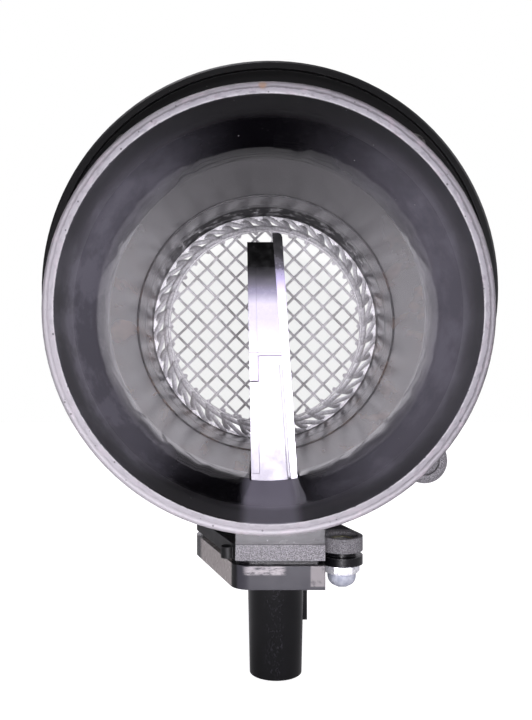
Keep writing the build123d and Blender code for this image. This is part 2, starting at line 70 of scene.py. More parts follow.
class Field:
    """Socket of a node tree that takes part in Python expressions."""

    def __init__(self, graph: "Graph", socket: bpy.types.NodeSocket) -> None:
        """Wraps a socket of the graph."""
        self.graph = graph
        self.socket = socket

    def __add__(self, other: "Scalar") -> "Field":
        """Sum of both."""
        return self.graph.maths("ADD", self, other)

    def __radd__(self, other: "Scalar") -> "Field":
        """Sum of both."""
        return self.graph.maths("ADD", other, self)

    def __sub__(self, other: "Scalar") -> "Field":
        """This less the other."""
        return self.graph.maths("SUBTRACT", self, other)

    def __rsub__(self, other: "Scalar") -> "Field":
        """The other less this."""
        return self.graph.maths("SUBTRACT", other, self)

    def __mul__(self, other: "Scalar") -> "Field":
        """Product of both."""
        return self.graph.maths("MULTIPLY", self, other)

    def __rmul__(self, other: "Scalar") -> "Field":
        """Product of both."""
        return self.graph.maths("MULTIPLY", other, self)

    def __truediv__(self, other: "Scalar") -> "Field":
        """This over the other."""
        return self.graph.maths("DIVIDE", self, other)

    def root(self) -> "Field":
        """Square root."""
        return self.graph.maths("SQRT", self)

    def size(self) -> "Field":
        """Absolute value."""
        return self.graph.maths("ABSOLUTE", self)

    def wave(self) -> "Field":
        """Cosine of this angle."""
        return self.graph.maths("COSINE", self)

    def least(self, other: "Scalar") -> "Field":
        """Lower one of both."""
        return self.graph.maths("MINIMUM", self, other)

    def most(self, *others: "Scalar") -> "Field":
        """Highest of this and the others."""
        top = self
        for other in others:
            top = self.graph.maths("MAXIMUM", top, other)
        return top

    def above(self, edge: float, soft: float = 0.1) -> "Field":
        """Mask that rises from 0 to 1 as this passes the edge, over soft on both sides."""
        return self.graph.node(
            "ShaderNodeMapRange",
            {"interpolation_type": "SMOOTHSTEP"},
            {"Value": self, "From Min": edge - soft, "From Max": edge + soft},
        )

    def below(self, edge: float, soft: float = 0.1) -> "Field":
        """Mask that falls from 1 to 0 as this passes the edge, over soft on both sides."""
        return 1 - self.above(edge, soft)

    def within(self, low: float, high: float, soft: float = 0.1) -> "Field":
        """Mask that is 1 between low and high."""
        return self.above(low, soft) * self.below(high, soft)


Scalar = Field | float
Paint = Field | Shade
Bend = Callable[[Field, Field, int], Field]


class Graph:
    """Makes the nodes of one shader, world or geometry tree."""

    def __init__(self, tree: bpy.types.NodeTree) -> None:
        """Starts on a tree, which it empties."""
        self.tree = tree
        tree.nodes.clear()

    def node(
        self,
        kind: str,
        settings: dict[str, Any] | None = None,
        sockets: dict[int | str, Any] | None = None,
        out: int | str = 0,
    ) -> Field:
        """Makes one node.

        Args:
            kind: type of the node.
            settings: its properties, or a ramp's stops, which are set first.
            sockets: a value or a link for each named or numbered input.
            out: the output that is wanted.

        Returns:
            The output as a Field.
        """
        made = self.tree.nodes.new(kind)
        for name, value in (settings or {}).items():
            if name == "stops":
                self._fill_ramp(made.color_ramp, value)
            else:
                setattr(made, name, value)
        for key, value in (sockets or {}).items():
            self.join(value, made.inputs[key])
        return Field(self, made.outputs[out] if len(made.outputs) else made.inputs[0])

    def join(self, value: Any, target: bpy.types.NodeSocket) -> None:
        """Links a Field to an input, each Field of a list to it, or sets its plain value."""
        if isinstance(value, Field):
            self.tree.links.new(value.socket, target)
        elif isinstance(value, list):
            for part in value:
                self.tree.links.new(part.socket, target)
        else:
            target.default_value = value

    @staticmethod
    def _fill_ramp(ramp: bpy.types.ColorRamp, rows: Stops) -> None:
        """Gives a ramp its stops."""
        while len(ramp.elements) < len(rows):
            ramp.elements.new(1.0)
        for element, (place, colour) in zip(ramp.elements, rows):
            element.position = place
            element.color = colour

    def maths(self, operation: str, *values: Scalar) -> Field:
        """One Math node on numbers and Fields."""
        return self.node("ShaderNodeMath", {"operation": operation}, dict(enumerate(values)))

    def far(self, one: Field, other: Field) -> Field:
        """Distance that two lengths at right angles make."""
        return (one * one + other * other).root()

    def vector(self, x: Scalar, y: Scalar, z: Scalar) -> Field:
        """Vector of three numbers."""
        return self.node("ShaderNodeCombineXYZ", None, {0: x, 1: y, 2: z})

    def parts(self, vector: Field) -> tuple[Field, Field, Field]:
        """The three numbers of a vector."""
        split = self.node("ShaderNodeSeparateXYZ", None, {0: vector}).socket.node
        return tuple(Field(self, socket) for socket in split.outputs)


class Painter(Graph):
    """Shader graph of one material, with its place on the object and its patterns."""

    def __init__(self, material: bpy.types.Material) -> None:
        """Starts the material's tree with the Object coordinates in millimetres."""
        material.use_nodes = True
        super().__init__(material.node_tree)
        place = self.node("ShaderNodeTexCoord", out="Object")
        self.place = self.node("ShaderNodeVectorMath", {"operation": "SCALE"}, {0: place, "Scale": 1 / MM})
        self.x, self.y, self.z = self.parts(self.place)
        self.radius = self.far(self.x, self.z)
        self.turn = self.maths("ARCTAN2", self.z, self.x)

    def blend(self, share: Scalar, low: Paint, high: Paint) -> Field:
        """Colour between two colours, each a Field or display values."""
        low, high = (paint if isinstance(paint, Field) else display(*paint) for paint in (low, high))
        return self.node("ShaderNodeMix", {"data_type": "RGBA"}, {0: share, 6: low, 7: high}, out=2)

    def coats(self, base: Paint, *layers: tuple[Scalar, Paint]) -> Field:
        """Colour of a base under layers, each a mask and a colour."""
        for share, colour in layers:
            base = self.blend(share, base, colour)
        return base

    def ramp(self, value: Field, rows: Stops) -> Field:
        """Colour of a value along a ramp."""
        return self.node("ShaderNodeValToRGB", {"stops": rows}, {0: value})

    def noise(self, scale: float, detail: float = 3.0, rough: float = 0.55, at: Field | None = None) -> Field:
        """Soft noise about 0.5, with scale in cycles per millimetre."""
        sockets = {"Vector": at or self.place, "Scale": scale, "Detail": detail, "Roughness": rough}
        return self.node("ShaderNodeTexNoise", None, sockets)

    def specks(self, spacing: float, reach: float, rarity: float) -> Field:
        """Mask of small round specks.

        Args:
            spacing: distance between their cells, in millimetres.
            reach: radius of the largest, in millimetres.
            rarity: share of the cells that stay empty.

        Returns:
            A mask from 0 to 1.
        """
        sockets = {"Vector": self.place, "Scale": 1 / spacing, "Randomness": 1.0}
        cell = self.node("ShaderNodeTexVoronoi", None, sockets, out="Distance")
        chance = self.parts(Field(self, cell.socket.node.outputs["Color"]))[0]
        wide = (chance - rarity).most(0.0) * (reach / spacing / (1 - rarity))
        return (1 - cell / (wide + 0.0001)).above(0.25, 0.25)

    def bump(self, height: Field, depth: float, onto: Field | None = None) -> Field:
        """Normal of a height between 0 and 1 that stands depth millimetres high."""
        sockets: dict[int | str, Any] = {"Strength": 1.0, "Distance": depth * MM, "Height": height}
        if onto:
            sockets["Normal"] = onto
        return self.node("ShaderNodeBump", None, sockets)

    def edges(self, radius: float) -> tuple[Field, Field]:
        """Rounded normal of edges, and a mask of the edges, for a radius in millimetres."""
        round_off = self.node("ShaderNodeBevel", {"samples": 4}, {"Radius": radius * MM})
        flat = self.node("ShaderNodeNewGeometry", out="Normal")
        both = {0: round_off, 1: flat}
        along = self.node("ShaderNodeVectorMath", {"operation": "DOT_PRODUCT"}, both, out="Value")
        return round_off, along.below(0.93, 0.05)

    def finish(self, sockets: dict[str, Any]) -> None:
        """Puts the surface's shader and the output in place."""
        surface = self.node("ShaderNodeBsdfPrincipled", None, sockets)
        self.node("ShaderNodeOutputMaterial", None, {"Surface": surface})


class Grain(Enum):
    """Texture that a moulded or worked surface carries."""

    SATIN = "satin"
    SPARKED = "sparked"
    BRUSHED = "brushed"
    CAST = "cast"


@dataclass(frozen=True)
class Finish:
    """Plain finish with two mottled colours, a grain, light dust and soft edges."""

    name: str
    low: Shade
    high: Shade
    rough: tuple[float, float] = (0.3, 0.5)
    metal: float = 0.0
    grain: Grain = Grain.SATIN
    depth: float = 0.02
    mottle: float = 0.15
    dust: float = 0.0
    round_off: float = 0.0

    def material(self) -> bpy.types.Material:
        """Builds the finish as a material."""
        material = bpy.data.materials.new(self.name)
        self.paint(Painter(material))
        return material

    def mottled(self, pen: Painter, scale: float, soft: float = 0.15) -> Field:
        """The finish's two colours in patches."""
        return pen.blend(pen.noise(scale, 4.0).above(0.5, soft), self.low, self.high)

    def roughness(self, pen: Painter, scale: float, soft: float) -> Field:
        """Roughness that wanders between the finish's two values."""
        low, high = self.rough
        return low + (high - low) * pen.noise(scale, 3.0).above(0.5, soft)

    def pattern(self, pen: Painter) -> Field:
        """Height of the grain."""
        if self.grain is Grain.BRUSHED:
            return pen.noise(2.5, 2.0, at=pen.vector(pen.x * 6, pen.y * 0.3, pen.z * 0.3))
        if self.grain is Grain.SPARKED:
            return pen.noise(3.2, 4.0, 0.7)
        if self.grain is Grain.CAST:
            return pen.noise(1.2, 3.0)
        return pen.noise(5.0, 2.0)

    def paint(self, pen: Painter) -> None:
        """Draws the finish with a painter."""
        colour = self.mottled(pen, self.mottle, 0.16)
        if self.dust:
            colour = pen.blend(pen.specks(1.6, 0.16, 0.75) * self.dust, colour, (190, 186, 180))
        normal = pen.edges(self.round_off)[0] if self.round_off else None
        pen.finish(
            {
                "Base Color": colour,
                "Roughness": self.roughness(pen, 0.6, 0.25),
                "Metallic": self.metal,
                "Normal": pen.bump(self.pattern(pen), self.depth, onto=normal),
            }
        )


# Across the rim from its inner edge: painted highlight on the inner lip, pale land, dark line, pale land,
# painted shade at the outer edge.
RIM_WEAR_AND_EDGE_LIGHT = stops(
    (0.0, 206, 204, 206),
    (0.1, 196, 194, 197),
    (0.2, 164, 162, 167),
    (0.4, 152, 149, 155),
    (0.46, 100, 97, 102),
    (0.54, 118, 115, 119),
    (0.62, 144, 141, 146),
    (0.88, 128, 124, 129),
    (0.96, 62, 60, 63),
)


@dataclass(frozen=True)
class HousingFinish(Finish):
    """Black tube: gloss mouth with dust and painted reflections, satin throat painted grey for its reflection
    with painted shade at the top, worn rim with painted edge light, textured pad and lug.
    """

    rim_in: float = 45.4
    rim_wall: float = 2.6
    bore: float = 40.8
    mouth_bore: float = 46.9
    mouth_end: float = 22.9
    throat_start: float = 30.5
    pad_front: float = 18.06
    pad_top: float = -53.8
    step_top: float = -47.0
    lug: tuple[float, float] = (45.2, -39.7)
    lug_r: float = 9.5
    lug_from: float = 50.0
    boss: tuple[float, float] = (18.4, 29.5)
    boss_r: float = 6.4
    boss_top: float = -52.0
    flange_in: float = 55.0
    dull_front: float = 11.0

    def rim_coat(self, pen: Painter) -> tuple[Field, Field]:
        """Worn colour of the rim by its radius, with a painted highlight on the inner lip, painted shade at
        the outer edge and painted light towards the lower left, and its mask.
        """
        share = (pen.radius - self.rim_in) / self.rim_wall
        ring = pen.vector(pen.turn * 14, share * 2.2, pen.y * 0.4)
        worn = pen.noise(1.0, 5.0, 0.62, at=ring)
        # Painted light towards the lower left of the rim.
        painted_light_lower_left = (0 - pen.x - pen.z) / (pen.radius * 1.414)
        colour = pen.coats(
            pen.ramp(share + (worn - 0.5) * 0.3, RIM_WEAR_AND_EDGE_LIGHT),
            (pen.noise(0.9, 3.0, at=ring).above(0.6, 0.08) * 0.3, (190, 172, 182)),
            (pen.noise(1.6, 4.0, at=ring).above(0.58, 0.06) * 0.4, (112, 110, 114)),
            (painted_light_lower_left.above(0.3, 0.8) * 0.35, (222, 218, 222)),
            (pen.specks(1.3, 0.35, 0.72) * 0.7, (70, 66, 70)),
            (pen.far(pen.x + 1.35, pen.z - 47.1).below(0.8, 0.4) * 0.7, (150, 118, 92)),
        )
        ragged = pen.radius + (pen.noise(0.9, 4.0, 0.6) - 0.5) * 0.9
        return colour, pen.y.below(1.0, 0.08) * ragged.above(self.rim_in + 0.1, 0.12)

    def mouth_coat(self, pen: Painter) -> Field:
        """Colour of the outlet cone: near black, with a painted reflection at its sides, stronger towards the
        lower left, and a painted reflection of the finger under it.
        """
        film = pen.noise(0.09, 5.0, 0.6).above(0.52, 0.12)
        # Painted reflection on the cone's sides.
        side = (pen.x.size() / pen.radius).above(0.4, 0.3) * pen.z.below(36.0, 16.0)
        side = side * (1 - pen.z.below(-33.0, 7.0) * pen.x.within(-28.0, 6.0, 8.0))
        # Painted light towards the lower left.
        painted_light_lower_left = ((0 - pen.x - pen.z) / 60).above(0.5, 0.3)
        painted_reflection_mask = side * (0.7 + 0.3 * film) + painted_light_lower_left * film * side * 0.5
        painted_reflection_mask = painted_reflection_mask * (0.3 + 0.7 * pen.y.above(8.0, 5.0))
        # Painted reflection of the finger in the cone's floor.
        foot = pen.z.below(-36.0, 3.0) * pen.x.within(-5.5, 6.5, 1.5) * 0.9
        return pen.blend((painted_reflection_mask + foot).least(1.0), (10, 9, 12), (112, 110, 119))

    def throat_coat(self, pen: Painter, wall: Field, streak: Field) -> tuple[Field, Field, Field]:
        """Mottled colour of the throat: a grey that paints the reflection in the black wall, with painted
        shade towards the top.

        Args:
            pen: painter of the material.
            wall: coordinates round and along the wall.
            streak: noise that is drawn out along the wall.

        Returns:
            The colour, and the masks of the dark rings and of the blots before the screen.
        """
        brown = streak.above(0.53, 0.09) * pen.z.below(14.0, 14.0)
        # Painted shade towards the top of the throat.
        dim = pen.z.above(30.0, 9.0) * (1 - (pen.x + 6).size().above(26.0, 12.0) * 0.6)
        rings = (pen.y.within(97.5, 103.2, 0.5) * 0.6).most(
            pen.y.within(82.5, 84.5, 0.6) * 0.35,
            pen.y.within(69.0, 70.2, 0.4) * 0.45,
        )
        blots = pen.noise(0.22, 3.0, at=pen.vector(pen.turn * 38, pen.y * 0.8, 0.0)).above(0.47, 0.07)
        blots = blots * pen.y.within(86.0, 103.0, 1.5) * pen.z.above(24.0, 9.0)
        # The grey base paints the reflection that the black wall shows.
        colour = pen.coats(
            (94, 91, 95),
            (brown, (142, 116, 104)),
            (pen.noise(0.1, 3.0, at=wall).above(0.5, 0.15) * 0.7, (72, 70, 74)),
            (dim * 0.6, (34, 32, 36)),
            (rings.most(blots * 0.85), (14, 13, 15)),
        )
        return colour, rings, blots

    def paint(self, pen: Painter) -> None:
        """Draws each region of the moulding."""
        cone = pen.y.below(self.mouth_end, 0.1) * pen.radius.below(self.mouth_bore, 0.1)
        inside = pen.radius.below(self.bore, 0.2).most(cone)
        outside = 1 - inside
        throat = inside * pen.y.above(self.throat_start, 1.0)
        mouth = inside * pen.y.below(self.throat_start, 1.0)
        wall = pen.vector(pen.turn * 38, pen.y * 0.16, 0.0)
        streak = pen.noise(0.16, 3.0, 0.5, at=wall)
        throat_colour, rings, blots = self.throat_coat(pen, wall, streak)
        rim_colour, rim = self.rim_coat(pen)

        front = pen.y.within(self.pad_front - 0.16, self.pad_front, 0.03)
        pad = front * pen.z.below(self.pad_top, 0.1)
        step = front * pen.z.within(self.pad_top, self.step_top, 0.1)
        crease = pen.z.within(self.pad_top - 0.2, self.pad_top + 0.2, 0.12)
        crease = crease * pen.y.below(self.pad_front, 0.03)
        lug = pen.far(pen.x - self.lug[0], pen.z - self.lug[1]).below(self.lug_r, 0.8)
        boss = pen.far(pen.x - self.boss[0], pen.y - self.boss[1]).below(self.boss_r, 0.4)
        boss = boss * pen.z.below(self.boss_top, 0.3)
        grained = pad.most(lug * pen.radius.above(self.lug_from, 0.3))
        spark = pen.noise(3.6, 5.0, 0.75).above(0.52, 0.14)
        sparked = pen.blend(spark, (98, 96, 99), (186, 184, 188))

        high_left = 0.35 + 0.65 * ((pen.z - pen.x) / 60).above(0.1, 0.7)
        dust = pen.specks(3.4, 0.24, 0.7) * high_left * (1 - throat)
        fine = pen.specks(1.3, 0.1, 0.8) * 0.6 * (1 - throat)
        soft, edge = pen.edges(0.35)
        worn = edge * outside * (1 - rim) * pen.noise(0.5, 4.0).above(0.5, 0.12) * 0.35
        colour = pen.coats(
            (4, 4, 5),
            (pen.noise(0.12, 4.0).above(0.5, 0.2), (9, 9, 10)),
            (mouth, self.mouth_coat(pen)),
            (throat, throat_colour),
            (grained * 0.9, sparked),
            (step * 0.8, (54, 53, 57)),
            (crease * 0.7, (30, 29, 32)),
            (boss * 0.6, sparked),
            (dust.most(fine) * 0.75, (206, 204, 206)),
            (rim, rim_colour),
            (worn, (96, 94, 98)),
        )

        rough = 0.2 - inside * 0.1 + 0.08 * pen.noise(0.25, 4.0).above(0.5, 0.2) * outside
        rough = rough + throat * (0.12 + 0.06 * streak) + rings * 0.2 + blots * 0.4
        rough = rough + mouth * (pen.y.below(self.dull_front, 2.0) * 0.5 - 0.02) + rim * 0.25
        rough = rough + pen.radius.above(self.flange_in, 1.0) * 0.3 + grained.most(boss * 0.7) * 0.4
        height = pen.noise(4.0, 2.0) * 0.25 * outside + grained.most(boss) * pen.noise(3.6, 4.0, 0.7) * 2.0
        height = height + rim * pen.noise(1.6, 4.0, 0.6) * 2.0 + dust
        pen.finish({"Base Color": colour, "Roughness": rough, "Normal": pen.bump(height, 0.05, onto=soft)})


# Painted highlight on the downstream faces from the finger's foot upwards: white, then fading into painted
# shade towards the tip.
PLATE_PAINTED_HIGHLIGHT = stops(
    (0.0, 238, 236, 244),
    (0.70, 216, 211, 232),
    (0.80, 170, 162, 200),
    (0.845, 136, 130, 158),
    (0.875, 76, 73, 84),
    (0.905, 50, 48, 54),
    (0.93, 16, 15, 17),
    (0.96, 6, 6, 7),
)
# Painted highlight and shade of the body's downstream faces, with a darker band just above the foot.
BODY_PAINTED_HIGHLIGHT = stops(
    (0.0, 232, 228, 240),
    (0.05, 158, 152, 168),
    (0.19, 164, 158, 176),
    (0.27, 226, 222, 234),
    (0.52, 238, 236, 242),
    (0.68, 214, 208, 234),
    (0.735, 222, 216, 232),
    (0.775, 150, 146, 170),
    (0.81, 104, 101, 113),
    (0.84, 66, 65, 69),
    (0.87, 20, 20, 21),
    (0.895, 4, 4, 4),
)


@dataclass(frozen=True)
class FingerFinish(Finish):
    """Satin plastic or plate of the finger, with a painted highlight on its downstream face that fades into
    painted shade at the tip.
    """

    face_y: float = 22.65
    foot_z: float = -46.0
    painted_light_height: float = 66.0
    plate: bool = False

    def face(self, pen: Painter) -> Field:
        """Mask of the downstream face and what lies before it."""
        return pen.y.below(self.face_y + 0.5, 0.5)

    def film(self, pen: Painter, frost: Scalar, seams: Sequence[Field] = ()) -> Field:
        """Painted highlight of the downstream face by height, fading into painted shade at the tip.

        Args:
            pen: painter of the material.
            frost: how far frosted patches show.
            seams: masks of the parting lines.

        Returns:
            The colour.
        """
        film = pen.ramp((pen.z - self.foot_z) / self.painted_light_height, PLATE_PAINTED_HIGHLIGHT if self.plate else BODY_PAINTED_HIGHLIGHT)
        patches = pen.noise(1.4, 5.0, 0.7).above(0.56, 0.08) * frost * 0.16
        film = pen.blend(patches, film, (196, 190, 214))
        if seams:
            film = pen.blend(seams[0].most(*seams[1:]) * 0.9, film, (134, 112, 152))
        return film

    def seams(self, pen: Painter) -> list[Field]:
        """Parting lines of the channel's lid."""
        return [
            pen.z.within(-9.95, -9.65, 0.05) * pen.x.above(-2.0, 0.1),
            pen.z.within(-9.2, -8.95, 0.05) * 0.6,
            pen.x.within(-2.3, -2.0, 0.06) * pen.z.within(-15.9, -9.8, 0.1),
            pen.z.within(-16.15, -15.8, 0.06) * pen.x.below(-2.0, 0.1),
        ]

    def paint(self, pen: Painter) -> None:
        """Draws the painted highlight and shade over the body's own colour."""
        face = self.face(pen) * pen.z.above(self.foot_z, 0.1)
        # The downstream face gets a painted highlight that fades into painted shade, with pale patches in it.
        film = self.film(pen, pen.z.below(6.0, 3.0), () if self.plate else self.seams(pen))
        soft, _ = pen.edges(0.15)
        pen.finish(
            {
                "Base Color": pen.blend(face * 0.94, self.mottled(pen, 0.2), film),
                "Specular IOR Level": 0.3,
                "Roughness": self.roughness(pen, 0.5, 0.2) - pen.z.above(9.0, 4.0) * 0.1,
                "Metallic": self.metal,
                "Normal": pen.bump(pen.noise(3.0, 3.0), self.depth, onto=soft),
            }
        )


@dataclass(frozen=True)
class ModuleFinish(FingerFinish):
    """Satin moulding of the plate, barrel and finger root, paler and rubbed at the plate's front, with a
    painted highlight on the finger root's downstream face, painted sheen on the plate's left side and a
    painted highlight down the barrel's middle.
    """

    barrel_top: float = -64.6
    plate_low: float = -64.5
    plate_high: float = -58.8

    def seams(self, pen: Painter) -> list[Field]:
        """Parting lines between the moulding and the channel's parts."""
        return [
            pen.z.within(-10.0, -9.65, 0.05) * pen.x.above(-2.3, 0.1),
            pen.x.within(-2.35, -1.95, 0.06) * pen.z.within(-16.0, -9.7, 0.1),
            pen.z.within(-16.2, -15.8, 0.06) * pen.x.below(-2.0, 0.1),
            pen.x.below(-4.05, 0.1) * pen.z.below(-16.0, 0.3) * 0.7,
        ]

    def paint(self, pen: Painter) -> None:
        """Draws plate, barrel and finger root."""
        root = pen.z.above(self.foot_z, 0.1)
        # The groove beside the heat plate is painted with the highlight in place of its shade.
        groove_painted_light = pen.y.below(24.8, 0.1) * pen.x.above(2.6, 0.6) * 0.75
        face = self.face(pen).most(groove_painted_light) * root
        barrel = pen.z.below(self.barrel_top, 0.05)
        plate = pen.z.within(self.plate_low, self.plate_high, 0.05)
        front = pen.y.below(19.2, 0.3) * plate
        # Painted sheen on the plate's left side face.
        side = pen.x.below(-8.6, 0.2) * plate * pen.y.below(47.0, 1.5)
        scuff = pen.noise(0.8, 5.0, 0.7, at=pen.vector(pen.x * 0.6, pen.y, pen.z * 2.4))
        shine = front * pen.x.within(-5.4, 3.9, 0.8) * pen.z.within(-61.0, -59.0, 0.25)
        shine = shine * scuff.above(0.46, 0.12)
        patch = front * pen.x.within(10.0, 13.3, 0.25) * pen.z.within(-63.7, -58.9, 0.2)
        patch = patch * pen.noise(0.5, 4.0).above(0.36, 0.12)
        # Painted highlight in streaks down the middle of the barrel.
        streak = pen.noise(0.8, 5.0, 0.7, at=pen.vector(pen.x * 3, pen.y * 3, pen.z * 1.6)).above(0.62, 0.1)
        middle = pen.y.below(34.0, 3.0) * pen.x.within(-0.5, 4.0, 1.5)
        open_skin = (1 - root) * (1 - barrel * 0.6)
        dust = pen.specks(2.6, 0.2, 0.72).most(pen.specks(1.1, 0.09, 0.8) * 0.6) * open_skin
        soft, edge = pen.edges(0.3)
        colour = pen.coats(
            self.mottled(pen, 0.2),
            (barrel * 0.8, (3, 3, 5)),
            (front * 0.85, (60, 59, 66)),
            (side * 0.9, (190, 181, 177)),
            (shine * 0.8, (190, 184, 186)),
            (patch * 0.6, (166, 160, 160)),
            (barrel * middle * streak * 0.3, (84, 82, 92)),
            (dust * 0.7, (200, 196, 196)),
            # Painted highlight fading into painted shade on the downstream face.
            (face * 0.9, self.film(pen, 1.0, self.seams(pen))),
            (edge * open_skin * scuff.above(0.48, 0.1) * 0.4, (120, 118, 122)),
        )
        rough = 0.2 + 0.12 * pen.noise(0.3, 4.0).above(0.5, 0.2) * (1 - barrel) + front * 0.2 - barrel * 0.08
        pen.finish(
            {
                "Base Color": colour,
                "Specular IOR Level": 0.4,
                "Roughness": rough,
                "Normal": pen.bump(pen.noise(3.4, 3.0) * (1 - face * 0.8), 0.02, onto=soft),
            }
        )


@dataclass(frozen=True)
class WireFinish(Finish):
    """Drawn steel wire, duller in the middle of the screen and bright in its border."""

    border: float = 31.0

    def paint(self, pen: Painter) -> None:
        """Draws dull and bright wire."""
        bright = pen.radius.above(self.border, 0.6)
        patches = pen.noise(1.3, 4.0).above(0.5, 0.15)
        shiny = pen.blend(patches, (226, 224, 228), (252, 251, 253))
        soil = pen.noise(0.14, 4.0).above(0.58, 0.08) * (1 - bright) * 0.35
        pen.finish(
            {
                "Base Color": pen.coats(self.mottled(pen, 0.5), (bright, shiny), (soil, (96, 90, 86))),
                "Roughness": 0.42 - bright * 0.12 + 0.1 * pen.noise(2.0),
                "Metallic": 0.1,
                "Normal": pen.bump(pen.noise(6.0, 2.0), 0.02),
            }
        )


PLASTIC = ((8, 8, 10), (17, 16, 19))
FINISHES: dict[str, Finish] = {
    "housing": HousingFinish("housing_gloss_black", *PLASTIC),
    "sleeve": Finish("plated_sleeve", (150, 150, 150), (196, 194, 188), (0.25, 0.4), 1.0, Grain.BRUSHED),
    "rubber": Finish("black_rubber", (22, 22, 22), (38, 37, 36), (0.6, 0.85), depth=0.03, dust=0.5),
    "wire": WireFinish("screen_wire", (222, 220, 222), (238, 236, 240)),
    "ring": Finish("spring_wire", (150, 149, 148), (192, 190, 190), (0.25, 0.4), 1.0, Grain.BRUSHED),
    "module": ModuleFinish("module_satin_black", *PLASTIC, (0.25, 0.4)),
    "finger": FingerFinish("finger_satin", *PLASTIC, (0.2, 0.3), depth=0.01),
    "lid": FingerFinish("finger_lid_satin", (20, 20, 22), (34, 33, 36), (0.2, 0.3), depth=0.01),
    "plate": FingerFinish(
        "heat_plate", (160, 160, 164), (204, 204, 208), (0.3, 0.42), 0.6,
        face_y=23.3, plate=True,
    ),
    "board": Finish("fired_ceramic", (206, 202, 192), (228, 225, 216), (0.45, 0.6), grain=Grain.CAST),
    "chips": Finish("chip_resin", (24, 24, 26), (44, 43, 44), (0.45, 0.65), grain=Grain.SPARKED),
    "gel": Finish("clear_gel", (176, 178, 168), (206, 206, 196), (0.08, 0.2), grain=Grain.CAST),
    "carrier": Finish("carrier_resin", (44, 44, 46), (66, 65, 66), (0.4, 0.55)),
    "film": Finish("sensing_film", (70, 66, 84), (128, 118, 146), (0.1, 0.2), 0.5, depth=0.004),
    "bead": Finish("resin_bead", (40, 34, 30), (78, 64, 52), (0.12, 0.25), grain=Grain.CAST),
    "lead": Finish("tinned_lead", (170, 170, 170), (212, 211, 208), (0.25, 0.4), 1.0, Grain.BRUSHED),
    "pin": Finish("tinned_pin", (176, 174, 168), (214, 211, 202), (0.2, 0.35), 1.0, Grain.BRUSHED),
    "brass": Finish("insert_brass", (150, 146, 116), (186, 180, 148), (0.3, 0.5), 0.9, Grain.BRUSHED),
    "zinc": Finish(
        "bright_zinc", (232, 232, 238), (250, 250, 253), (0.22, 0.36), 0.4, Grain.BRUSHED,
        0.004, 0.5, round_off=0.25,
    ),
    "screw": Finish(
        "screw_steel", (186, 190, 206), (220, 224, 236), (0.16, 0.26), 0.5, Grain.CAST,
        0.002, 0.6,
    ),
}


@cache
def material_of(finish: str) -> bpy.types.Material:
    """The material of a finish, built once."""
    return FINISHES[finish].material()


def dress(mesh: bpy.types.Mesh, finish: str) -> None:
    """Gives a mesh one finish."""
    mesh.materials.clear()
    mesh.materials.append(material_of(finish))


def placed(name: str, data: bpy.types.ID) -> bpy.types.Object:
    """New object at the origin, linked to the scene."""
    made = bpy.data.objects.new(name, data)
    bpy.context.scene.collection.objects.link(made)
    return made


def baked(host: bpy.types.Object, name: str) -> bpy.types.Mesh:
    """Plain mesh of what a host's modifiers make. The host goes."""
    graph = bpy.context.evaluated_depsgraph_get()
    mesh = bpy.data.meshes.new_from_object(host.evaluated_get(graph), depsgraph=graph)
    mesh.name = name
    bpy.data.objects.remove(host)
    return mesh


@dataclass(frozen=True)
class Ring:
    """Round or hexagonal ring of corners, with a hexagon's corners cut back on request."""

    radius: float
    place: float
    hexagonal: bool = False
    cut: float = 0.0

    def reach(self, angle: float) -> float:
        """Distance from the axis at an angle."""
        if not self.hexagonal:
            return self.radius
        half = math.pi / 6
        side = self.radius * math.cos(half) / math.cos(angle % (2 * half) - half)
        return min(side, self.radius - self.cut)


def turned(
    name: str, rings: Sequence[Ring], steps: int, upright: bool = False, looped: bool = True
) -> bpy.types.Mesh:
    """Mesh of rings round an axis, each joined to the next.

    Args:
        name: name of the mesh.
        rings: the rings, in their order along the skin.
        steps: corners of each ring.
        upright: whether the axis is Z instead of Y.
        looped: whether the last ring meets the first. Otherwise a face closes each of the two.

    Returns:
        The mesh, with its faces outwards.
    """
    work = bmesh.new()
    loops = []
    for ring in rings:
        loop = []
        for step in range(steps):
            angle = 2 * math.pi * step / steps
            across, along = ring.reach(angle) * math.cos(angle), ring.reach(angle) * math.sin(angle)
            spot = (across, along, ring.place) if upright else (across, ring.place, along)
            loop.append(work.verts.new(Vector(spot) * MM))
        loops.append(loop)
    for near, far in zip(loops, loops[1:] + loops[:1] if looped else loops[1:]):
        for step in range(steps):
            after = (step + 1) % steps
            work.faces.new((near[step], near[after], far[after], far[step]))
    if not looped:
        for end in (loops[0], loops[-1]):
            work.faces.new(end)
    bmesh.ops.remove_doubles(work, verts=work.verts, dist=1e-7)
    bmesh.ops.recalc_face_normals(work, faces=work.faces)
    mesh = bpy.data.meshes.new(name)
    work.to_mesh(mesh)
    work.free()
    mesh.shade_smooth()
    mesh.set_sharp_from_angle(angle=math.radians(38))
    return mesh


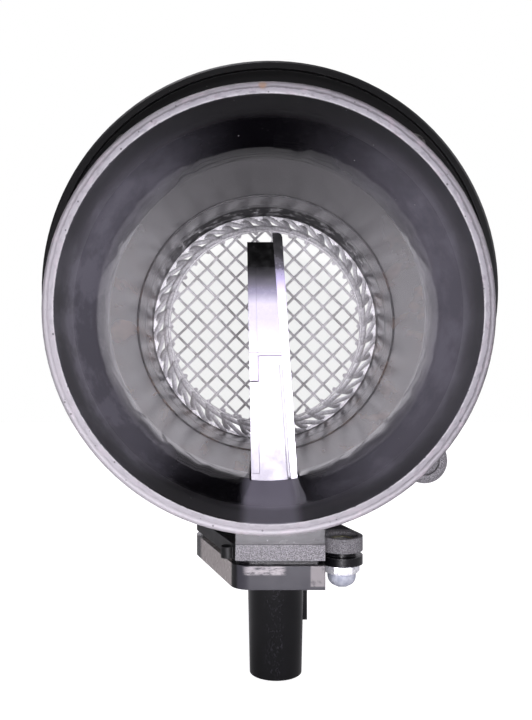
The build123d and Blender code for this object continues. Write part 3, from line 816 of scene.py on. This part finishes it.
class Growth(Graph):
    """Geometry Nodes tree with named sizes, which grows one plain mesh."""

    def __init__(self, name: str, sizes: dict[str, float]) -> None:
        """Makes the tree and its inputs.

        Args:
            name: name of the tree.
            sizes: value of each named input.
        """
        tree = bpy.data.node_groups.new(name, "GeometryNodeTree")
        super().__init__(tree)
        offer = tree.interface.new_socket
        for way in ("INPUT", "OUTPUT"):
            offer(name="Geometry", in_out=way, socket_type="NodeSocketGeometry")
        self.sizes = sizes
        self.sockets = {
            label: offer(name=label, in_out="INPUT", socket_type="NodeSocketFloat").identifier
            for label in sizes
        }
        entry = self.node("NodeGroupInput").socket.node
        self.start = Field(self, entry.outputs["Geometry"])
        self.inputs = {label: Field(self, entry.outputs[label]) for label in sizes}

    def strand(self, start: Spot | Field, end: Field, divided: str, amount: Scalar) -> Field:
        """Straight curve between two points, divided by "Length" or "Count"."""
        line = self.node("GeometryNodeCurvePrimitiveLine", None, {"Start": start, "End": end})
        sockets = {"Curve": line, divided: amount}
        return self.node("GeometryNodeResampleCurve", {"mode": divided.upper()}, sockets)

    def row(self, count: int, start: Spot | Field, offset: Spot | Field) -> Field:
        """Row of points."""
        sockets = {"Count": count, "Start Location": start, "Offset": offset}
        return self.node("GeometryNodeMeshLine", None, sockets)

    def grow(
        self, name: str, result: Field, finish: str, seed: bpy.types.Mesh | None = None
    ) -> bpy.types.Object:
        """Closes the tree and turns what it makes into a plain mesh object.

        Args:
            name: name of the new object.
            result: geometry that the tree ends in.
            finish: key of its finish.
            seed: mesh that the tree starts from.

        Returns:
            The object, without its modifier.
        """
        real = self.node("GeometryNodeRealizeInstances", None, {0: result})
        sockets = {"Geometry": real, "Material": material_of(finish)}
        dressed = self.node("GeometryNodeSetMaterial", None, sockets)
        self.node("NodeGroupOutput", None, {0: dressed})
        host = placed(f"{name}_host", seed or bpy.data.meshes.new(f"{name}_seed"))
        modifier = host.modifiers.new("grow", "NODES")
        modifier.node_group = self.tree
        for label, value in self.sizes.items():
            modifier[self.sockets[label]] = value
        mesh = baked(host, name)
        mesh.shade_smooth()
        return placed(name, mesh)


@dataclass
class Assembly:
    """What every sub-assembly does with its pieces."""

    made: list[bpy.types.Object] = field(default_factory=list, init=False)

    def own(self, piece: bpy.types.Object, node_slot: str, *nodes: str) -> bpy.types.Object:
        """Lets a new piece ride the frame in place of CAD nodes.

        Args:
            piece: the new object, placed by its mesh.
            node_slot: not used.
            nodes: CAD nodes that it stands for.

        Returns:
            The piece.
        """
        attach(piece, "root")
        if nodes:
            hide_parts(*nodes)
        self.made.append(piece)
        return piece

    def smooth_copy(
        self, node: str, finish: str, angle: float = 32.0, bevel: float = 0.0
    ) -> bpy.types.Object:
        """Merged copy of a CAD node, smooth up to an angle, which takes the node's place.

        Args:
            node: name of the CAD node.
            finish: key of its finish.
            angle: largest angle that is shaded smooth, in degrees.
            bevel: width of a real bevel on its edges, in millimetres.

        Returns:
            The new piece.
        """
        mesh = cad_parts[node].data.copy()
        mesh.name = f"{node}_merged"
        work = bmesh.new()
        work.from_mesh(mesh)
        bmesh.ops.remove_doubles(work, verts=work.verts, dist=2e-6)
        work.to_mesh(mesh)
        work.free()
        if "custom_normal" in mesh.attributes:
            mesh.attributes.remove(mesh.attributes["custom_normal"])
        dress(mesh, finish)
        mesh.shade_smooth()
        mesh.set_sharp_from_angle(angle=math.radians(angle))
        host = placed(f"{node}_host", mesh)
        if bevel:
            soft = host.modifiers.new("edges", "BEVEL")
            soft.width = bevel * MM
            soft.segments = 2
            soft.limit_method = "ANGLE"
            soft.angle_limit = math.radians(40)
        weighted = host.modifiers.new("flat_faces_lead", "WEIGHTED_NORMAL")
        weighted.keep_sharp = True
        name = f"{node}_dressed"
        return self.own(placed(name, baked(host, name)), node, node)

    def keep(self, node: str, finish: str) -> None:
        """Leaves a CAD node in place and gives it a finish."""
        dress(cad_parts[node].data, finish)

    def report(self) -> None:
        """Logs each piece with its faces."""
        for piece in self.made:
            LOG.info("%s: %d faces", piece.name, len(piece.data.polygons))


@dataclass
class TubeHousing(Assembly):
    """Moulded tube with its flange, sleeves and inlet seal."""

    spigot: float = 41.5
    seal_near: float = 95.05
    seal_far: float = 98.15
    seal_foot: float = 39.45
    lip_foot: float = 0.35
    seal_proud: float = 1.0

    def seal_rings(self) -> list[Ring]:
        """Double-lipped section of the seal, with round lips."""
        lip = (self.seal_far - self.seal_near) / 4
        rings = [Ring(self.seal_foot, self.seal_near), Ring(self.seal_foot, self.seal_far)]
        for centre in (self.seal_far - lip, self.seal_near + lip):
            for step in range(7):
                angle = math.pi * (1 - step / 6)
                proud = self.lip_foot + (self.seal_proud - self.lip_foot) * math.sin(angle)
                rings.append(Ring(self.spigot + proud, centre - lip * math.cos(angle)))
        return rings

    def build(self) -> None:
        """Makes the tube's pieces."""
        self.smooth_copy("housing", "housing", 30.0)
        self.smooth_copy("flange_sleeves", "sleeve")
        seal = turned("inlet_seal_lips", self.seal_rings(), 96)
        dress(seal, "rubber")
        self.own(placed(seal.name, seal), "inlet_seal", "inlet_seal")


@dataclass
class WireScreen(Assembly):
    """Woven wire disc with a crimped border, hem and split ring."""

    pitch: float = 4.5
    wire: float = 0.42
    sides: int = 8
    near: float = 92.8
    disc: float = 31.3
    disc_over: float = 0.15
    disc_back: float = 0.05
    pitch_steps: int = 12
    crease_out: float = 0.1
    crease_back: float = 0.75
    crease_steps: int = 10
    hem_in: float = 37.3
    hem_out: float = 38.85
    hem_near: float = 103.0
    hem_thick: float = 0.68
    hem_lap: float = 0.5
    border_cells: int = 34
    border_wire: float = 1.75
    border_back: float = 0.8
    border_lift: float = 0.9
    border_points: int = 25
    border_slants: tuple[float, float] = (27.0, 7.0)
    hoop_steps: int = 120

    def weave(
        self, graph: Growth, strand: Field, spots: Field, bend: Bend, reach: Field | None = None
    ) -> Field:
        """Two families of round wires.

        Args:
            graph: tree that they grow in.
            strand: one straight wire along X.
            spots: where the wires start.
            bend: place of a point, from its X, its Y and the family's sign.
            reach: radius past which points are dropped, before they are bent.

        Returns:
            The wires of both families.
        """
        families = []
        for sign in (1, -1):
            copies = graph.node("GeometryNodeInstanceOnPoints", None, {"Points": spots, "Instance": strand})
            rows = graph.node("GeometryNodeRealizeInstances", None, {0: copies})
            along, across, _ = graph.parts(graph.node("GeometryNodeInputPosition"))
            if reach:
                outside = graph.maths("GREATER_THAN", graph.far(along, across), reach)
                sockets = {"Geometry": rows, "Selection": outside}
                rows = graph.node("GeometryNodeDeleteGeometry", {"domain": "POINT"}, sockets)
            sockets = {"Geometry": rows, "Position": bend(along, across, sign)}
            bent = graph.node("GeometryNodeSetPosition", None, sockets)
            sockets = {"Resolution": self.sides, "Radius": graph.inputs["Wire radius"]}
            circle = graph.node("GeometryNodeCurvePrimitiveCircle", None, sockets)
            sockets = {"Curve": bent, "Profile Curve": circle, "Fill Caps": True}
            families.append(graph.node("GeometryNodeCurveToMesh", None, sockets))
        return graph.node("GeometryNodeJoinGeometry", None, {0: families})

    def disc_wires(self) -> bpy.types.Object:
        """Two families of woven wires, each up and down over the other."""
        sizes = {
            "Pitch": self.pitch * MM,
            "Reach": (self.disc + self.disc_over) * MM,
            "Wire radius": self.wire * MM,
            "Near plane": (self.near + self.disc_back) * MM,
        }
        graph = Growth("woven_disc", sizes)
        pitch, reach, thick, near = graph.inputs.values()
        rows = int(self.disc / self.pitch)

        def bend(along: Field, across: Field, sign: int) -> Field:
            """Turns a family by 45 degrees, and lifts it over and under the other."""
            u, v = (along, across) if sign == 1 else (0 - across, along)
            lift = ((u + v) / pitch * math.pi).wave() * thick * sign
            return graph.vector((u - v) * math.sqrt(0.5), near + thick * 2 + lift, (u + v) * math.sqrt(0.5))

        start, end = graph.vector(0 - reach, 0.0, 0.0), graph.vector(reach, 0.0, 0.0)
        strand = graph.strand(start, end, "Length", pitch / self.pitch_steps)
        spots = graph.row(2 * rows + 1, graph.vector(0.0, pitch * -rows, 0.0), graph.vector(0.0, pitch, 0.0))
        return graph.grow("screen_disc_wires", self.weave(graph, strand, spots, bend, reach), "wire")

    def border_wires(self) -> bpy.types.Object:
        """Crimped border: two families of slanted wires down the sloping band."""
        rise, run = self.hem_near - self.near, self.hem_in - self.disc
        slope = math.atan2(rise, run)
        more, less = (math.radians(slant) for slant in self.border_slants)
        sizes = {
            "Band length": math.hypot(rise, run) * MM,
            "Inner radius": self.disc * MM,
            "Near plane": (self.near + self.border_back) * MM,
            "Wire radius": self.wire * self.border_wire * MM,
            "Cells": float(self.border_cells),
        }
        graph = Growth("crimped_border", sizes)
        band, inner, near, thick, cells = graph.inputs.values()

        def bend(down: Field, index: Field, sign: int) -> Field:
            """Lays a family on the band, slanted more in one than in the other."""
            share = down / band
            angle = index * (2 * math.pi) / cells + share * (more if sign == 1 else less)
            lift = (share * (more - less) * cells / 2).wave() * thick * (self.border_lift * sign)
            radius = inner + down * math.cos(slope) + lift * math.sin(slope)
            depth = near + down * math.sin(slope) - lift * math.cos(slope)
            return graph.vector(radius * angle.wave(), depth, radius * graph.maths("SINE", angle))

        strand = graph.strand((0.0, 0.0, 0.0), graph.vector(band, 0.0, 0.0), "Count", self.border_points)
        spots = graph.row(self.border_cells, (0.0, 0.0, 0.0), (0.0, 1.0, 0.0))
        return graph.grow("screen_border_wires", self.weave(graph, strand, spots, bend), "wire")

    def crease(self) -> bpy.types.Mesh:
        """Round wire along the fold between disc and border."""
        turns = [2 * math.pi * step / self.crease_steps for step in range(self.crease_steps)]
        radius, place = self.disc + self.crease_out, self.near + self.crease_back
        section = [
            Ring(radius + self.wire * math.cos(turn), place + self.wire * math.sin(turn)) for turn in turns
        ]
        return turned("screen_crease", section, self.hoop_steps)

    def hem(self) -> bpy.types.Mesh:
        """Flat hem that the split ring holds."""
        inner, far = self.hem_in - self.hem_lap, self.hem_near + self.hem_thick
        section = (
            Ring(inner, self.hem_near + 0.05),
            Ring(self.hem_in - 0.2, self.hem_near),
            Ring(self.hem_out, self.hem_near),
            Ring(self.hem_out, far),
            Ring(inner, far),
        )
        return turned("screen_hem", section, self.hoop_steps)

    def build(self) -> None:
        """Makes the screen's pieces."""
        self.own(self.disc_wires(), "mesh_screen", "mesh_screen")
        self.own(self.border_wires(), "mesh_screen")
        for mesh in (self.crease(), self.hem()):
            dress(mesh, "wire")
            self.own(placed(mesh.name, mesh), "mesh_screen")
        self.smooth_copy("mesh_ring", "ring", bevel=0.4)


@dataclass
class SensorModule(Assembly):
    """Plate, barrel and finger root in one moulding, with seal and terminals."""

    seal_edge: float = 0.3
    pin_edge: float = 0.12

    def build(self) -> None:
        """Makes the module's pieces."""
        self.smooth_copy("module_body", "module")
        self.smooth_copy("module_seal", "rubber", bevel=self.seal_edge)
        self.smooth_copy("connector_pins", "pin", bevel=self.pin_edge)


@dataclass
class SensingFinger(Assembly):
    """Upper half of the finger with its lids and heat plate, and what they hold."""

    seam: float = 0.03
    plate_edge: float = 0.2

    def build(self) -> None:
        """Makes the finger's pieces."""
        self.smooth_copy("channel_body", "finger", bevel=self.seam)
        self.smooth_copy("channel_cover", "lid", bevel=self.seam)
        self.smooth_copy("electronics_cover", "lid", bevel=self.seam)
        self.smooth_copy("base_plate", "plate", bevel=self.plate_edge)
        self.smooth_copy("temperature_bead", "bead", angle=60)
        for node, finish in (
            ("hybrid_board", "board"),
            ("board_parts", "chips"),
            ("potting_gel", "gel"),
            ("chip_carrier", "carrier"),
            ("sensor_chip", "film"),
            ("temperature_leads", "lead"),
        ):
            self.keep(node, finish)


@dataclass
class Fasteners(Assembly):
    """Screws, hexagonal washers and threaded inserts at the two ears."""

    ears: tuple[tuple[float, float], ...] = ((18.4, 29.5), (-13.0, 52.5))
    ear_z: float = -61.0
    hex_r: float = 4.45
    hex_t: float = 2.2
    hex_bore: float = 2.1
    hex_edge: float = 0.3
    hex_cut: float = 0.35
    head_r: float = 3.55
    head_h: float = 3.5
    dome_share: float = 0.86
    dome_power: float = 2.5
    shank_r: float = 1.95
    shank_top: float = -55.2
    drive_r: float = 1.7
    drive_d: float = 1.6
    drive_edge: float = 0.2
    crown_gap: float = 0.35
    crown_steps: int = 8
    head_edge: float = 0.2
    axis_r: float = 0.02
    steps: int = 48

    def screw_rings(self) -> list[Ring]:
        """From the floor of the hexagonal recess over the dome and down the shank."""
        under = self.ear_z - self.hex_t
        tip = under - self.head_h
        crown = self.drive_r + self.crown_gap
        rings = [
            Ring(self.axis_r, tip + self.drive_d),
            Ring(self.drive_r, tip + self.drive_d, True),
            Ring(self.drive_r, tip + self.drive_edge, True),
            Ring(self.drive_r + self.drive_edge, tip + 0.13, True),
        ]
        for step in range(1, self.crown_steps + 1):
            quarter = math.pi / 2 * step / self.crown_steps
            radius = crown + (self.head_r - crown) * math.sin(quarter)
            share = min(radius / self.head_r, 1.0) ** self.dome_power
            drop = 1 - (1 - share) ** (1 / self.dome_power)
            rings.append(Ring(radius, tip + self.head_h * self.dome_share * drop))
        rings += [
            Ring(self.head_r, under - 0.25),
            Ring(self.head_r - self.head_edge, under),
            Ring(self.shank_r, under),
            Ring(self.shank_r, self.shank_top),
            Ring(self.axis_r, self.shank_top),
        ]
        return rings

    def washer_rings(self) -> list[Ring]:
        """Round the section of a hexagonal washer with chamfered corners and a bore."""
        low, high = self.ear_z - self.hex_t, self.ear_z
        return [
            Ring(self.hex_bore, low),
            Ring(self.hex_r, low, True, self.hex_cut),
            Ring(self.hex_r, low + self.hex_edge, True),
            Ring(self.hex_r, high - self.hex_edge, True),
            Ring(self.hex_r, high, True, self.hex_cut),
            Ring(self.hex_bore, high),
        ]

    def at_ears(self, name: str, template: bpy.types.Mesh, finish: str) -> bpy.types.Object:
        """One copy of a template on each ear's axis.

        Args:
            name: name of the piece.
            template: mesh to copy.
            finish: key of its finish.

        Returns:
            The piece with both copies.
        """
        model = placed(f"{name}_template", template)
        seed = bpy.data.meshes.new(f"{name}_spots")
        seed.from_pydata([Vector((x, y, 0.0)) * MM for x, y in self.ears], [], [])
        graph = Growth(f"{name}_at_ears", {"Copy scale": 1.0})
        source = {"transform_space": "ORIGINAL"}
        shape = graph.node("GeometryNodeObjectInfo", source, {"Object": model}, out="Geometry")
        scale = graph.inputs["Copy scale"]
        sockets = {"Points": graph.start, "Instance": shape, "Scale": graph.vector(scale, scale, scale)}
        piece = graph.grow(name, graph.node("GeometryNodeInstanceOnPoints", None, sockets), finish, seed)
        bpy.data.objects.remove(model)
        piece.data.set_sharp_from_angle(angle=math.radians(30))
        return piece

    def build(self) -> None:
        """Makes the fasteners."""
        screw = turned("screw_template", self.screw_rings(), self.steps, upright=True, looped=False)
        washer = turned("washer_template", self.washer_rings(), self.steps, upright=True)
        self.own(self.at_ears("dome_screws", screw, "screw"), "screws", "screws")
        self.own(self.at_ears("hexagon_washers", washer, "zinc"), "hex_washers", "hex_washers")
        self.smooth_copy("inserts", "brass")


@dataclass(frozen=True)
class Softbox:
    """Soft rectangular light that the eye doesn't see, facing a point."""

    name: str
    place: Spot
    aim: Spot
    wide: float
    high: float
    radiance: float

    def light(self, tint: Spot) -> None:
        """Puts the light in the scene."""
        data = bpy.data.lights.new(self.name, "AREA")
        data.shape = "RECTANGLE"
        data.size = self.wide * MM
        data.size_y = self.high * MM
        data.color = tint
        data.energy = self.radiance * math.pi * self.wide * self.high * MM * MM
        lamp = placed(self.name, data)
        lamp.location = Vector(self.place) * MM
        lamp.rotation_mode = "QUATERNION"
        lamp.rotation_quaternion = (Vector(self.aim) - Vector(self.place)).to_track_quat("-Z", "Y")
        lamp.visible_camera = False


@dataclass
class Studio:
    """White surroundings, soft lights, the floor and the camera."""

    eye: Spot = (-2.3, -166.1, -10.4)
    lens: float = 39.5
    shift: tuple[float, float] = (8 / 720, -2 / 720)
    floor_z: float = -90.6
    floor_corners: tuple[tuple[float, float], ...] = ((-600, -190), (600, -190), (600, 800), (-600, 800))
    lamp_tint: Spot = (1.0, 0.97, 1.04)
    sky_tint: Colour = (1.0, 0.965, 1.045, 1.0)
    softboxes: tuple[Softbox, ...] = (
        Softbox("near_softbox", (4, -200, -45), (4, 0, -45), 60, 82, 34.5),
        Softbox("high_softbox", (-350, -600, 900), (0, 30, 0), 500, 500, 3.5),
        Softbox("side_softbox", (800, 100, 500), (0, 40, 0), 500, 500, 3.0),
        Softbox("back_softbox", (-300, 500, 1000), (0, 80, 0), 600, 600, 3.5),
    )

    def sky(self) -> None:
        """White behind the object, dim behind the camera, and white to the eye everywhere but a painted
        shadow on the backdrop straight behind the tube.
        """
        world = bpy.data.worlds.new("studio")
        bpy.context.scene.world = world
        world.use_nodes = True
        graph = Graph(world.node_tree)
        _, toward, height = graph.parts(graph.node("ShaderNodeTexCoord", out="Generated"))
        band = toward.above(0.6, 0.15) * height.size().below(0.3, 0.12)
        bright = (1.1 * toward.above(0.925, 0.03)).most(band * 1.1)
        strength = 0.05 + 0.13 * toward.above(0.1, 0.4) + bright
        # Painted shadow on the backdrop straight behind the tube.
        backdrop_with_painted_shadow = 1 - 0.11 * toward.above(0.9903, 0.0016)
        around = graph.node("ShaderNodeBackground", None, {"Color": self.sky_tint, "Strength": strength})
        white = graph.node("ShaderNodeBackground", None, {"Color": WHITE, "Strength": backdrop_with_painted_shadow})
        seen = graph.node("ShaderNodeLightPath", out="Is Camera Ray")
        mixed = graph.node("ShaderNodeMixShader", None, {0: seen, 1: around, 2: white})
        graph.node("ShaderNodeOutputWorld", None, {"Surface": mixed})

    def floor(self) -> None:
        """Pale floor just under the connector."""
        mesh = bpy.data.meshes.new("floor")
        corners = [Vector((x, y, self.floor_z)) * MM for x, y in self.floor_corners]
        mesh.from_pydata(corners, [], [(0, 1, 2, 3)])
        material = bpy.data.materials.new("floor_white")
        material.use_nodes = True
        graph = Graph(material.node_tree)
        seen = graph.node("ShaderNodeLightPath", out="Is Camera Ray")
        glow = graph.node("ShaderNodeEmission", None, {"Color": WHITE, "Strength": 0.06 + 0.84 * seen})
        pale = graph.node("ShaderNodeBsdfDiffuse", None, {"Color": (0.6, 0.6, 0.6, 1.0)})
        both = graph.node("ShaderNodeAddShader", None, {0: glow, 1: pale})
        graph.node("ShaderNodeOutputMaterial", None, {"Surface": both})
        mesh.materials.append(material)
        floor = placed("floor", mesh)

    def camera(self) -> None:
        """Camera at the photograph's place and angle."""
        data = bpy.data.cameras.new("eye")
        data.lens = self.lens
        data.sensor_width = 36.0
        data.shift_x, data.shift_y = self.shift
        data.clip_start = 0.005
        camera = placed("eye", data)
        camera.location = Vector(self.eye) * MM
        camera.rotation_euler = (math.pi / 2, 0.0, 0.0)
        bpy.context.scene.camera = camera

    def build(self) -> None:
        """Sets up everything round the object."""
        bpy.context.scene.view_settings.view_transform = "Standard"
        self.sky()
        self.floor()
        for softbox in self.softboxes:
            softbox.light(self.lamp_tint)
        self.camera()


def main() -> None:
    """Builds the classes in order."""
    logging.basicConfig(level=logging.INFO, format="%(message)s")
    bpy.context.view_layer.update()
    for assembly in (TubeHousing(), WireScreen(), SensorModule(), SensingFinger(), Fasteners()):
        assembly.build()
        assembly.report()
    Studio().build()
    LOG.info("size kept")


if __name__ == "__main__":
    main()
